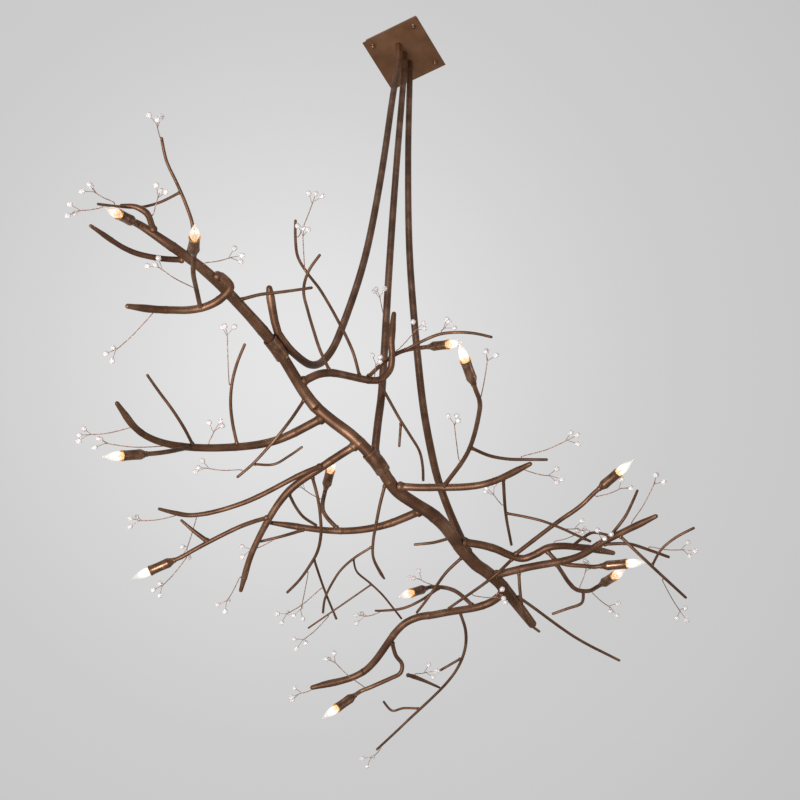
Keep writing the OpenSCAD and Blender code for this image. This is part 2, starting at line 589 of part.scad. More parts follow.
module stiffener() color(zinc) {
    difference() {
        translate([-stiffener_l / 2, -stiffener_w / 2, cover_top_z])
            cube([stiffener_l, stiffener_w, stiffener_t]);
        at_stems() translate([0, 0, cover_top_z - 1])
            cylinder(h = stiffener_t + 2, d = nipple_d + 2 * hole_gap);
    }
}

nipple_l = cover_t + stiffener_t + stem_nut_t + 3;

module stem_nipples() color(zinc) {
    at_stems() translate([0, 0, -canopy_depth]) difference() {
        cylinder(h = nipple_l, d = nipple_d);
        translate([0, 0, -1]) cylinder(h = nipple_l + 2, d = nipple_bore_d);
    }
}

module stem_nuts() color(zinc) {
    at_stems() translate([0, 0, cover_top_z + stiffener_t]) difference() {
        cylinder(h = stem_nut_t, d = stem_nut_af / cos(30), $fn = 6);
        translate([0, 0, -1]) cylinder(h = stem_nut_t + 2, d = nipple_d + 2 * hole_gap);
    }
}

// ---- Modules: stems and bough ----

module stem_left() color(bronze) {
    l = left_stem;
    n = len(l[0]) - 1;
    t = [for (i = [0 : n]) i == n ? [0, 0, 1] : heading(l, l[1][i])];
    f = frames(t);
    tip = l[0][0] - t[0] * stem_d * 0.2;
    rings = [for (i = [0 : n]) ring(l[0][i], t[i], f[i], stem_d / 2, stem_sides)];
    skin(tip, concat([ring(tip, t[0], f[0], stem_d * 0.33, stem_sides)], rings), l[0][n],
        stem_sides);
}

module stem_middle() color(bronze) grow(middle_stem, stem_sides, [0, 0, 1]);
module stem_right() color(bronze) grow(right_stem, stem_sides, [0, 0, 1]);

module bough_left() color(bronze) tube(bough, 0, first_joint, bough_sides);
module bough_middle() color(bronze) tube(bough, first_joint, second_joint, bough_sides, weld_gap);
module bough_right() color(bronze) tube(bough, second_joint, bough_last, bough_sides, weld_gap);
module sleeve_left() color(dark_bronze) sleeve(bough, bough[1][first_joint] - sleeve_l / 2,
    bough[1][first_joint] + sleeve_l / 2, bough_sides, sleeve_wall);
module sleeve_right() color(dark_bronze) sleeve(bough, bough[1][second_joint] - sleeve_l / 2,
    bough[1][second_joint] + sleeve_l / 2, bough_sides, sleeve_wall);

// ---- Modules: lamps ----

// Moves and turns a lamp's parts, drawn upwards from the end of its arm
module on_arm(k) {
    d = lamps[k - 1][1];
    translate(lamps[k - 1][0]) rotate([0, acos(d.z), atan2(d.y, d.x)]) children();
}

lamp_l = cone_l + cup_l;
floor_z = cone_l + 2;
holder_top_z = lamp_l - holder_recess;
lip_r = cup_d / 2 + lip_flare;

module lamp_cup() {
    rotate_extrude() polygon([
        [0, 0], [arm_d / 2 + 1.5, 0], [cup_d / 2, cone_l], [cup_d / 2, lamp_l - 5],
        [lip_r, lamp_l], [lip_r - cup_wall, lamp_l], [cup_d / 2 - cup_wall, lamp_l - 5],
        [cup_d / 2 - cup_wall, floor_z], [0, floor_z]]);
}

module lamp_holder() {
    foot_r = cup_d / 2 - cup_wall - weld_gap;
    foot_t = 3;
    neck_r = 4;
    shell_z = holder_top_z - cap_l - 8;
    rotate_extrude() polygon([
        [0, floor_z], [foot_r, floor_z], [foot_r, floor_z + foot_t], [neck_r, floor_z + foot_t],
        [neck_r, shell_z], [holder_d / 2, shell_z + 3], [holder_d / 2, holder_top_z],
        [cap_d / 2 + cap_gap, holder_top_z], [cap_d / 2 + cap_gap, holder_top_z - cap_l],
        [0, holder_top_z - cap_l]]);
}

// The bulb's outline: a narrow neck, a round belly and a long drawn-out flame tip
flame = [[0.54, 0], [0.78, 0.13], [1, 0.34], [0.9, 0.56], [0.5, 0.8], [0.16, 0.95], [0.03, 1]];

module bulb(k) on_arm(k) {
    outline = curve([for (p = flame) [p[0] * bulb_d / 2, holder_top_z + 1 + p[1] * glass_l]]);
    color(clear) rotate_extrude()
        polygon(concat([[0, holder_top_z + 1]], [for (i = [0 : 3 : len(outline) - 1]) outline[i]],
            [[0, holder_top_z + 1 + glass_l]]));
    color(zinc) translate([0, 0, holder_top_z - cap_l + cap_gap])
        cylinder(h = cap_l + 1 - cap_gap, d = cap_d);
}

module lamp_cups() color(dark_bronze) for (k = [1 : len(lamps)]) on_arm(k) lamp_cup();
module lamp_holders() color(black) for (k = [1 : len(lamps)]) on_arm(k) lamp_holder();

// ---- Modules: branches, arms and twigs ----

module branch(l) color(bronze) grow(l, branch_sides);
module lamp_arm(l, k) color(bronze) grow(l, arm_sides, lamps[k - 1][1]);
module twigs(list) color(bronze) for (l = list) grow(l, twig_sides);

// ---- Modules: sprigs ----

module sprig_wires() color(copper) for (s = sprigs) {
    r = wire_d / 2;
    t = [leave(s), unit(leave(s) + last_run(s)), unit(last_run(s) + prong_out(s, 0)),
         prong_out(s, 0)];
    f = frames(t);
    base = ring(knee(s), t[0], f[0], r, 3);
    foot = [for (q = base) cope(q, t[0], sprig_seat(s))];
    skin(cope(knee(s), t[0], sprig_seat(s)),
        [foot, ring(knee(s), t[1], f[1], r, 3), ring(fork(s), t[2], f[2], r, 3),
         ring(prong_tip(s, 0), t[3], f[3], r, 3)], prong_tip(s, 0), 3);
    for (k = [1 : 2]) {
        out = prong_out(s, k);
        side = frames([out])[0];
        seat = [prong_root(s, k), last_run(s), r];
        start = ring(prong_root(s, k) + out * wire_d * 2, out, side, r, 3);
        skin(cope(prong_root(s, k) + out * wire_d * 2, out, seat),
            [[for (q = start) cope(q, out, seat)], ring(prong_tip(s, k), out, side, r, 3)],
            prong_tip(s, k), 3);
    }
}

module sprig_beads() color(clear) for (s = sprigs, k = [0 : 2]) {
    out = prong_out(s, k);
    f = frames([out])[0];
    foot = prong_tip(s, k) + out * weld_gap;
    skin(foot, [ring(foot + out * bead_l * 0.45, out, f, bead_d / 2, 4)], foot + out * bead_l, 4);
}

// ---- Everything ----

canopy();
ceiling_plate();
canopy_studs();
ball_nuts();
stiffener();
stem_nipples();
stem_nuts();
stem_left();
stem_middle();
stem_right();
bough_left();
bough_middle();
bough_right();
sleeve_left();
sleeve_right();
branch(branch_1);
branch(branch_2);
branch(branch_3);
branch(branch_4);
branch(branch_5);
branch(branch_6);
branch(branch_7);
branch(branch_8);
branch(branch_9);
branch(branch_10);
branch(branch_11);
branch(branch_12);
lamp_arm(arm_2, 2);
lamp_arm(arm_3, 3);
lamp_arm(arm_4, 4);
lamp_arm(arm_5, 5);
lamp_arm(arm_6, 6);
lamp_arm(arm_7, 7);
lamp_arm(arm_8, 8);
lamp_arm(arm_9, 9);
lamp_arm(arm_10, 10);
lamp_arm(arm_11, 11);
lamp_arm(arm_12, 12);
twigs(left_twigs);  // twigs_left
twigs(middle_twigs);  // twigs_middle
twigs(low_twigs);  // twigs_low
twigs(right_twigs);  // twigs_right
lamp_cups();
lamp_holders();
bulb(1);  // bulb_1
bulb(2);  // bulb_2
bulb(3);  // bulb_3
bulb(4);  // bulb_4
bulb(5);  // bulb_5
bulb(6);  // bulb_6
bulb(7);  // bulb_7
bulb(8);  // bulb_8
bulb(9);  // bulb_9
bulb(10);  // bulb_10
bulb(11);  // bulb_11
bulb(12);  // bulb_12
sprig_wires();
sprig_beads();
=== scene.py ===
# %% [markdown]
# # Dressing a branch chandelier
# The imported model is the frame: straight-sided, faceted tubes, all in their right places.
# This notebook loads it, reads the middle line of every tube back out of its mesh, and
# draws each limb again as a round, slightly uneven metal tube. Then it makes the lamps,
# the beads and the finishes, and sets up the studio and the camera.

import json
import math

import bmesh
import bpy
from mathutils import Matrix, Vector, noise
from mathutils.kdtree import KDTree


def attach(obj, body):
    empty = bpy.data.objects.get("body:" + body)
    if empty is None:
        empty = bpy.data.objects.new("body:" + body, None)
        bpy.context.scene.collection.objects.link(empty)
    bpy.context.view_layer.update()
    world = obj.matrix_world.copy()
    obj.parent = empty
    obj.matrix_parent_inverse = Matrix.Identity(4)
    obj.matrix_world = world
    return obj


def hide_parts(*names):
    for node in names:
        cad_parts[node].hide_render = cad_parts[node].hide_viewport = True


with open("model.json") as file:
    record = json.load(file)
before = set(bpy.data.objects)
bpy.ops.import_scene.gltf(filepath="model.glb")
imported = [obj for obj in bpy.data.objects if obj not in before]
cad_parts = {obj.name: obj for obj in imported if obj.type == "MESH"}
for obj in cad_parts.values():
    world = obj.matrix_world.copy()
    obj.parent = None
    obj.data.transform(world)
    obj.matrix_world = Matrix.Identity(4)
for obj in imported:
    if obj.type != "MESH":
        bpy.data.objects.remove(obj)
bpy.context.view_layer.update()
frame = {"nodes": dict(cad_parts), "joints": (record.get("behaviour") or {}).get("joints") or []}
MM = 0.001
NODES = frame["nodes"]
FIXED = "chandelier"

# %% [markdown]
# ## The camera
# The photograph looks up steeply at the bough from below one side of it. The camera
# stands 5 m below the ceiling and looks up at 48.5 degrees, with a long lens.

# %% Camera
PHOTO_SIDE = 800
FOCAL_PX = 1725
TURN = math.radians(61.4)
PITCH = math.radians(48.5)
camera_at = Vector((-2.5763, -1.3890, -5.0650))
level = Vector((math.sin(TURN), math.cos(TURN), 0))
right = Vector((math.cos(TURN), -math.sin(TURN), 0))
forward = math.cos(PITCH) * level + math.sin(PITCH) * Vector((0, 0, 1))
above = right.cross(forward)
camera_data = bpy.data.cameras.new("camera")
camera_data.sensor_width = 36
camera_data.lens = 36 * FOCAL_PX / PHOTO_SIDE
camera_data.clip_end = 60
camera = bpy.data.objects.new("camera", camera_data)
camera.matrix_world = Matrix.Translation(camera_at) @ Matrix(
    (right, above, -forward)).transposed().to_4x4()
bpy.context.collection.objects.link(camera)
bpy.context.scene.camera = camera

# %% [markdown]
# ## Small helpers
# One function turns an sRGB hex value into the linear colour that Blender mixes, one adds
# a node with its settings and links, and one starts a material from its shader.

# %% Colour, nodes and materials
def linear(hex_code):
    """sRGB hex to linear RGBA."""
    values = [int(hex_code[i:i + 2], 16) / 255 for i in (1, 3, 5)]
    return [v / 12.92 if v <= 0.04045 else ((v + 0.055) / 1.055) ** 2.4 for v in values] + [1]


def add(tree, kind, links=None, **settings):
    """A node of a kind, with its sockets linked or set, and its own settings."""
    node = tree.nodes.new("ShaderNode" + kind)
    for key, value in settings.items():
        setattr(node, key, value)
    for socket, value in (links or {}).items():
        if isinstance(value, bpy.types.NodeSocket):
            tree.links.new(value, node.inputs[socket])
        else:
            node.inputs[socket].default_value = value
    return node


def finish_named(name):
    """A new material with its node tree and its shader."""
    material = bpy.data.materials.new(name)
    material.use_nodes = True
    return material, material.node_tree, material.node_tree.nodes["Principled BSDF"]


def ramp(tree, factor, stops):
    """A colour ramp over sRGB stops, as a colour socket."""
    node = add(tree, "ValToRGB", {"Fac": factor})
    band = node.color_ramp
    while len(band.elements) < len(stops):
        band.elements.new(0.5)
    for element, (place, colour) in zip(band.elements, stops):
        element.position = place
        element.color = linear(colour)
    return node.outputs["Color"]


# %% [markdown]
# ## Bronze paint on steel
# The limbs are bent steel tubes under an oil-rubbed bronze finish: a brown lacquer with
# fine metal in it, rubbed back by hand. It is a soft, half-metallic brown, paler where
# the hand wore it, cloudy over a few centimetres, with a fine orange-peel skin.

# %% Oil-rubbed bronze
FLECK, FLECK_SHARE = 3 * MM, 0.07
PEEL, PEEL_HEIGHT = 2.5 * MM, 0.12 * MM


def bronze_finish(name, dark, middle, pale, roughness, cloud_mm):
    """Rubbed bronze lacquer: soft clouds, fine flecks, and a faint orange-peel skin."""
    material, tree, shader = finish_named(name)
    place = add(tree, "TexCoord").outputs["Object"]
    clouds = add(tree, "TexNoise", {
        "Vector": place, "Scale": 1 / (cloud_mm * MM), "Detail": 4, "Roughness": 0.55})
    flecks = add(tree, "TexNoise", {
        "Vector": place, "Scale": 1 / FLECK, "Detail": 2, "Roughness": 0.5})
    both = add(tree, "Mix", {
        "Factor": FLECK_SHARE, "A": clouds.outputs["Fac"], "B": flecks.outputs["Fac"]},
        data_type="FLOAT")
    colour = ramp(tree, both.outputs["Result"], [(0.36, dark), (0.5, middle), (0.64, pale)])
    tree.links.new(colour, shader.inputs["Base Color"])
    rough = add(tree, "MapRange", {
        "Value": both.outputs["Result"], "From Min": 0.35, "From Max": 0.65,
        "To Min": roughness + 0.05, "To Max": roughness - 0.04})
    tree.links.new(rough.outputs["Result"], shader.inputs["Roughness"])
    shader.inputs["Metallic"].default_value = 0.7
    skin = add(tree, "TexNoise", {
        "Vector": place, "Scale": 1 / PEEL, "Detail": 2, "Roughness": 0.5})
    bump = add(tree, "Bump", {
        "Height": skin.outputs["Fac"], "Strength": 0.03, "Distance": PEEL_HEIGHT})
    tree.links.new(bump.outputs["Normal"], shader.inputs["Normal"])
    return material


limb_bronze = bronze_finish("oil_rubbed_bronze", "#573b29", "#6a4934", "#805e48", 0.5, 60)
cup_bronze = bronze_finish("spun_rubbed_bronze", "#5c402f", "#73523c", "#8f6d56", 0.33, 18)
# the canopy's bronze is a paler copy of the limbs' bronze: painted light on the cover's well-lit
# underside
canopy_bronze_painted_light = bronze_finish("canopy_bronze_painted_light", "#76523a", "#855e42", "#936c50", 0.46, 90)


# %% [markdown]
# ## Reading the middle lines
# Each tube of the frame is rings of points, closed to one point at both ends. Walking
# outwards from an end point over the mesh's edges, every step reaches exactly one ring,
# so the rings come back in order, with their centres and radii. The seat of a limb has a
# half-size ring inside its first full one, which tells its root from its tip.

# %% Rings of a tube
MERGE = 4e-6
SEAT_RATIO = 0.57  # a ring this much smaller than the next one belongs to a seat
BLUNT_RATIO = 0.8  # and this much smaller, to a blunt end


def middle_of(points):
    """The mean of some points."""
    return sum(points, Vector()) / len(points)


def islands_of(node):
    """The node's separate solids, each as a list of merged mesh points."""
    shape = bmesh.new()
    shape.from_mesh(NODES[node].data)
    bmesh.ops.remove_doubles(shape, verts=shape.verts, dist=MERGE)
    shape.verts.ensure_lookup_table()
    seen, islands = set(), []
    for start in shape.verts:
        if start.index in seen:
            continue
        island, reach = [], [start]
        seen.add(start.index)
        while reach:
            here = reach.pop()
            island.append(here)
            for edge in here.link_edges:
                there = edge.other_vert(here)
                if there.index not in seen:
                    seen.add(there.index)
                    reach.append(there)
        islands.append(island)
    return shape, islands


def walk(start):
    """Rings of points met walking out from a point."""
    seen, level_now, levels = {start.index}, [start], []
    while level_now:
        levels.append(level_now)
        level_next = []
        for here in level_now:
            for edge in here.link_edges:
                there = edge.other_vert(here)
                if there.index not in seen:
                    seen.add(there.index)
                    level_next.append(there)
        level_now = level_next
    return levels


def tube_rings(island, sides):
    """(centre, radius) of every ring of one tube, with a point at each end."""
    walks = [walk(v) for v in island if len(v.link_edges) == sides]
    levels = min((w for w in walks if len(w[-1]) == 1),
                 key=lambda w: sum(abs(len(level) - sides) for level in w))
    centres = [middle_of([v.co for v in level]) for level in levels]
    rings = []
    for i, (level, centre) in enumerate(zip(levels, centres)):
        axis = (centres[min(i + 1, len(levels) - 1)] - centres[max(i - 1, 0)]).normalized()
        radius = sum((v.co - centre).cross(axis).length for v in level) / len(level)
        rings.append((centre, radius))
    return rings


def middle_lines(node, sides):
    """For each tube of a node, its (centre, radius) list from root to tip."""
    shape, islands = islands_of(node)
    lines = []
    for island in islands:
        rings = tube_rings(island, sides)
        if rings[-2][1] / rings[-3][1] < SEAT_RATIO:
            rings.reverse()
        if rings[1][1] / rings[2][1] < SEAT_RATIO:
            foot = rings[0][0]
            rings = [(foot, rings[2][1])] + rings[3:]
        else:
            rings = rings[1:]
        if rings[-2][1] and rings[-1][1] == 0:
            end = rings[-1][0]
            rings = rings[:-1]
            flat = (end - rings[-1][0]).length < 1e-5
            if flat and rings[-1][1] < BLUNT_RATIO * rings[-2][1]:
                rings[-1] = (end, rings[-2][1])
        lines.append(rings)
    shape.free()
    return lines


# %% [markdown]
# ## Drawing a limb again
# A smooth curve through the ring centres carries a round section. Its radius swells a
# little at the root, where the weld runs round it, wavers by a few hundredths along the
# way, as hand-bent tube does, and rounds off at a cut tip. A branch's last stretch is
# drawn down first, as a smith draws a bar to a blunt point. Low lapped joints cross the
# limb about once a hand's breadth, where lengths of tube were joined and dressed.

# %% Curves with a round section
LAP_RISE, LAP_WIDTH = 0.07, 2.2 * MM
LAP_SHOULDER, SHOULDER_RUN = 0.03, 6 * MM
WELD_RISE, WELD_RUN = 0.34, 1.2 * MM
TIP_SHARE, FULL_BEFORE_TIP = 0.68, 0.1


def smoothed(line, step):
    """Points, radii and runs every step along a smooth curve through a middle line."""
    points = [p for p, r in line]
    radii = [r for p, r in line]
    out, run_now = [], 0.0
    for i in range(len(points) - 1):
        b, c = points[i], points[i + 1]
        a = points[i - 1] if i else 2 * b - c
        d = points[i + 2] if i + 2 < len(points) else 2 * c - b
        length = (c - b).length
        count = max(1, round(length / step))
        for k in range(count):
            t = k / count
            p = 0.5 * (2 * b + (c - a) * t + (2 * a - 5 * b + 4 * c - d) * t ** 2
                       + (3 * b - a - 3 * c + d) * t ** 3)
            out.append([p, radii[i] * (1 - t) + radii[i + 1] * t, run_now + length * t])
        run_now += length
    out.append([points[-1], radii[-1], run_now])
    return out


def knots_of(length, seed):
    """Places of the low lapped joints along a limb, about one every hand's breadth."""
    places, at = [], 0.06 + 0.05 * abs(noise.noise(Vector((seed, 0.3, 7.1))))
    while at < length - 0.03:
        places.append(at)
        at += 0.11 + 0.16 * abs(noise.noise(Vector((seed, at * 9, 2.7))))
    return places


def limb_profile(line, step, seed, weld=True, tip=True, sink=True, waver=0.035, knots=True,
                 taper=0):
    """The finished points and radii of one limb; its last stretch is drawn down by taper."""
    path = smoothed(line, step)
    length = path[-1][2]
    places = knots_of(length, seed) if knots else []
    profile = []
    if sink:
        inward = (path[0][0] - path[1][0]).normalized()
        profile.append((path[0][0] + inward * path[0][1] * 0.6, path[0][1] * 1.2))
    extra = []
    for place in places:
        extra += [place - 1.5 * MM, place, place + 2.5 * MM]
    if weld:
        extra += [1.5 * MM, 3 * MM, 5 * MM, 7.5 * MM]
    if tip:
        r_tip = path[-1][1] * (TIP_SHARE if taper else 1)
        extra += [length - r_tip * f for f in (1, 0.7, 0.4, 0.18, 0.05)]
    runs = sorted({round(s, 5) for s in [p[2] for p in path] + extra if 0 <= s <= length})
    k = 0
    for s in runs:
        while k < len(path) - 2 and path[k + 1][2] < s:
            k += 1
        (p, r, s0), (q, r2, s1) = path[k], path[k + 1]
        t = (s - s0) / (s1 - s0) if s1 > s0 else 0
        here, radius = p.lerp(q, t), r + (r2 - r) * t
        size = 1 + waver * noise.noise(Vector((seed * 3.1, s * 14, 0.5)))
        for place in places:
            size += LAP_RISE * math.exp(-((s - place) / LAP_WIDTH) ** 2)
            size += LAP_SHOULDER * max(0, 1 - abs(s - place - SHOULDER_RUN) / SHOULDER_RUN)
        if taper:
            size += FULL_BEFORE_TIP * math.exp(
                -((length - s - 1.3 * taper) / (0.5 * taper)) ** 2)
            size *= 1 - (1 - TIP_SHARE) * max(0, (s - length + taper) / taper)
        if weld:
            size += WELD_RISE * math.exp(-(s / (0.45 * radius + WELD_RUN)) ** 2)
        if tip and s > length - r_tip:
            size *= math.sqrt(max(0.02, 1 - ((s - length + r_tip) / r_tip) ** 2))
        profile.append((here, radius * size))
    return profile


def swept(name, profiles, sides=16):
    """One mesh piece of round tubes, from the points and radii of each."""
    data = bpy.data.curves.new(name, "CURVE")
    data.dimensions = "3D"
    data.bevel_depth = 1.0
    data.bevel_resolution = sides // 4 - 1
    data.use_fill_caps = True
    data.twist_mode = "MINIMUM"
    for profile in profiles:
        spline = data.splines.new("POLY")
        spline.points.add(len(profile) - 1)
        for point, (place, radius) in zip(spline.points, profile):
            point.co = (*place, 1)
            point.radius = radius
    drawn = bpy.data.objects.new(name + "_curve", data)
    bpy.context.collection.objects.link(drawn)
    bpy.context.view_layer.update()
    mesh = bpy.data.meshes.new_from_object(
        drawn.evaluated_get(bpy.context.evaluated_depsgraph_get()))
    bpy.data.objects.remove(drawn)
    return mesh


def piece_of(name, mesh, material, nodes=(), body=FIXED, smooth=True):
    """A finished piece from a mesh, that rides on a body and stands for CAD nodes."""
    mesh.name = name
    mesh.materials.clear()
    mesh.materials.append(material)
    for face in mesh.polygons:
        face.use_smooth = smooth
    piece = bpy.data.objects.new(name, mesh)
    bpy.context.collection.objects.link(piece)
    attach(piece, body)
    if nodes:
        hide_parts(*nodes)
    return piece


# %% [markdown]
# ## Stems, bough, branches, arms and twigs
# The node's name says how many sides its tubes have. The three pieces of the bough
# butt inside their sleeves, so they keep square ends and have no weld at their root. The
# left stem bends up again beside its sleeve, and ends in a drawn-down tip that is a
# little shorter than the frame's.

# %% Limbs
BRANCHES = [f"branch_{k}" for k in range(1, 13)]
ARMS = [f"arm_{k}" for k in range(2, 13)]
TWIGS = ["twigs_left", "twigs_middle", "twigs_low", "twigs_right"]
STEMS = ["stem_left", "stem_middle", "stem_right"]
BOUGH = ["bough_left", "bough_middle", "bough_right"]
SQUARE_ENDED = ARMS + ["stem_middle", "stem_right", "bough_left", "bough_middle"]
SPARE_STEM = 35 * MM
BRANCH_TAPER, STEM_TAPER = 45 * MM, 30 * MM


def cut_back(line, spare):
    """Shorten a middle line at its end."""
    while (line[-1][0] - line[-2][0]).length < spare:
        spare -= (line[-1][0] - line[-2][0]).length
        line.pop()
    before, (last, girth) = line[-2][0], line[-1]
    line[-1] = (last + (before - last).normalized() * spare, girth)


seed = 1.0
tube_count = 0
for node, sides, step in (
        [(n, 12, 25 * MM) for n in STEMS] + [(n, 16, 10 * MM) for n in BOUGH]
        + [(n, 10, 8 * MM) for n in BRANCHES] + [(n, 8, 8 * MM) for n in ARMS]
        + [(n, 6, 8 * MM) for n in TWIGS]):
    profiles = []
    stem, bough, left_stem = node in STEMS, node in BOUGH, node == "stem_left"
    for line in middle_lines(node, sides):
        seed += 1.37
        if left_stem:
            if line[0][0].z < line[-1][0].z:
                line.reverse()
            while line[-1][1] < BLUNT_RATIO * line[-2][1]:
                line.pop()
            cut_back(line, SPARE_STEM)
        if node == "bough_right" and line[0][0].x > line[-1][0].x:
            line.reverse()
        profiles.append(limb_profile(
            line, step, seed,
            weld=not bough and not left_stem, sink=not bough and not left_stem,
            tip=node not in SQUARE_ENDED,
            taper=BRANCH_TAPER if node in BRANCHES else STEM_TAPER if left_stem else 0,
            waver=0.012 if stem else 0.05 if bough else 0.04,
            knots=not stem and node not in TWIGS))
    tube_count += len(profiles)
    around = 24 if bough else 20 if stem else 12 if node in TWIGS else 16
    piece_of(node + "_tube", swept(node, profiles, around), limb_bronze, [node])
print("tubes drawn again:", tube_count)

# %% [markdown]
# ## Sleeves over the bough's joints
# Each sleeve is a short rolled tube slid over the butted ends and ground to soft lips.
# It follows the bough's own curve, so it is drawn like a limb: the sleeve node's rings
# give its middle line, and a profile adds a lip and a low groove at each end. The ends
# are inset and pushed in, which leaves the open, dark mouth of a loose-fitting sleeve.

# %% Sleeves
END_REACH = 45 * MM
LIP_RISE, LIP_AT, LIP_WIDTH = 0.3 * MM, 4 * MM, 2.2 * MM
GROOVE_DEPTH, GROOVE_AT, GROOVE_WIDTH = 0.9 * MM, 9 * MM, 1.6 * MM
SLEEVE_STAND, END_ROUND = 0.2 * MM, 0.4 * MM
MOUTH_WALL, MOUTH_DEPTH = 0.9 * MM, 4 * MM


def sleeve_line(node, sides=16):
    """(centre, outer radius) of a sleeve's outer rings, found round its own axis."""
    shape, islands = islands_of(node)
    points = [v.co.copy() for v in islands[0]]
    shape.free()
    middle = middle_of(points)
    far = max(points, key=lambda p: (p - middle).length)
    near = [p for p in points if (p - far).length < END_REACH]
    axis = (middle - middle_of(near)).normalized()
    points.sort(key=lambda p: p.dot(axis))
    rings = []
    for k in range(0, len(points), 2 * sides):
        group = points[k:k + 2 * sides]
        centre = middle_of(group)
        rings.append((centre, max((p - centre).length for p in group)))
    return rings


for node in ("sleeve_left", "sleeve_right"):
    line = sleeve_line(node)
    path = smoothed(line, 4 * MM)
    length = path[-1][2]
    thick = max(r for c, r in line)
    profile = []
    for place, radius, at in path:
        end = min(at, length - at)
        lip = LIP_RISE * math.exp(-((end - LIP_AT) / LIP_WIDTH) ** 2)
        groove = GROOVE_DEPTH * math.exp(-((end - GROOVE_AT) / GROOVE_WIDTH) ** 2)
        profile.append((place, thick + SLEEVE_STAND + lip - groove))
    print(node, "length mm", round(length / MM, 1), "radius mm", round(thick / MM, 1))
    for i in (0, -1):
        profile[i] = (profile[i][0], profile[i][1] - END_ROUND)
    collar = swept(node, [profile], 28)
    shape = bmesh.new()
    shape.from_mesh(collar)
    for end, next_in in ((profile[0][0], profile[1][0]), (profile[-1][0], profile[-2][0])):
        inwards = (next_in - end).normalized()
        caps = [f for f in shape.faces if all(
            (v.co - end).length < thick + SLEEVE_STAND
            and abs((v.co - end).dot(inwards)) < 0.1 * MM for v in f.verts)]
        bmesh.ops.inset_region(shape, faces=caps, thickness=MOUTH_WALL, use_even_offset=True)
        bmesh.ops.translate(shape, verts=list({v for f in caps for v in f.verts}),
                            vec=inwards * MOUTH_DEPTH)
        print(node, "open mouth, faces:", len(caps))
    shape.to_mesh(collar)
    shape.free()
    piece_of(node + "_collar", collar, cup_bronze, [node])

# %% [markdown]
# ## Spun parts
# Cups, holders, bulbs and ball nuts are all turned or spun about an axis. One helper spins
# an outline of (radius, height) points round Z, merges the seam and the poles, and points
# the faces outwards. The finished shape is then turned and moved to its lamp.

# %% A spun shape
def spun(outline, steps, loop=False):
    """A bmesh spun from (radius, height) points in millimetres; loop closes the outline."""
    shape = bmesh.new()
    points = [shape.verts.new((r * MM, 0, z * MM)) for r, z in outline]
    for a, b in zip(points, points[1:] + points[:1] if loop else points[1:]):
        shape.edges.new((a, b))
    bmesh.ops.spin(shape, geom=shape.verts[:] + shape.edges[:], cent=(0, 0, 0),
                   axis=(0, 0, 1), angle=math.tau, steps=steps, use_merge=True)
    bmesh.ops.remove_doubles(shape, verts=shape.verts, dist=0.02 * MM)
    bmesh.ops.recalc_face_normals(shape, faces=shape.faces)
    return shape


def joined(name, shapes, smooth_angle=40):
    """One mesh from placed bmesh shapes, with edges sharper than an angle kept sharp."""
    whole = bmesh.new()
    for shape in shapes:
        part = bpy.data.meshes.new("part")
        shape.to_mesh(part)
        shape.free()
        whole.from_mesh(part)
        bpy.data.meshes.remove(part)
    for edge in whole.edges:
        edge.smooth = edge.calc_face_angle(0) < math.radians(smooth_angle)
    mesh = bpy.data.meshes.new(name)
    whole.to_mesh(mesh)
    whole.free()
    return mesh


# %% [markdown]
# ## Where the lamps are
# Each bulb unscrews about its lamp's axis, so the frame's joints say where every lamp
# stands and which way it points. A joint lies at the mouth of its lamp's holder.

# %% Lamp places
HOLDER_MOUTH = 55
lamps = {}
joints = frame["joints"]
for joint in joints.values() if isinstance(joints, dict) else joints:
    k = int(joint["name"].split("_")[1])
    axis = Vector(joint["axis"]).normalized()
    base = Vector(joint["pos_m"]) - HOLDER_MOUTH * MM * axis
    lamps[k] = Matrix.Translation(base) @ axis.to_track_quat("Z", "Y").to_matrix().to_4x4()
print("lamps:", len(lamps))

# %% [markdown]
# ## Lamp cups
# A cup is spun from sheet on a lathe: a collar that grips the arm, a cone, a soft
# shoulder, a body that narrows a little, and a lip rolled outwards. Its inside is bare,
# brassy metal with a faint painted amber glow, painted light that stands for the lit
# bulb's light on it.

# %% Cups
CUP = [(0, -1.5), (6.3, -1.5), (7.0, -0.6), (7.0, 1.4), (6.5, 2.6), (7.0, 4), (8.9, 8.5),
       (11.1, 14), (12.05, 16.6), (12.4, 18.4), (12.25, 20.5), (12.0, 27), (11.75, 38),
       (11.8, 50), (12.1, 58), (12.6, 62.5), (13.05, 64.6), (13.25, 66), (13.2, 66.6)]
LINING = [(13.2, 66.6), (13.0, 67.2), (12.6, 67.3), (12.2, 66.6), (11.8, 64.6), (11.3, 61),
          (11.0, 56), (10.9, 30), (10.9, 21), (0, 21)]
cups, linings = [], []
for k, place in lamps.items():
    cup = spun(CUP, 28)
    lining = spun(LINING, 28)
    bmesh.ops.reverse_faces(lining, faces=lining.faces)
    for shape in (cup, lining):
        bmesh.ops.transform(shape, matrix=place, verts=shape.verts)
    cups.append(cup)
    linings.append(lining)
cup_mesh = joined("lamp_cups", cups)
lining_mesh = joined("cup_linings", linings)


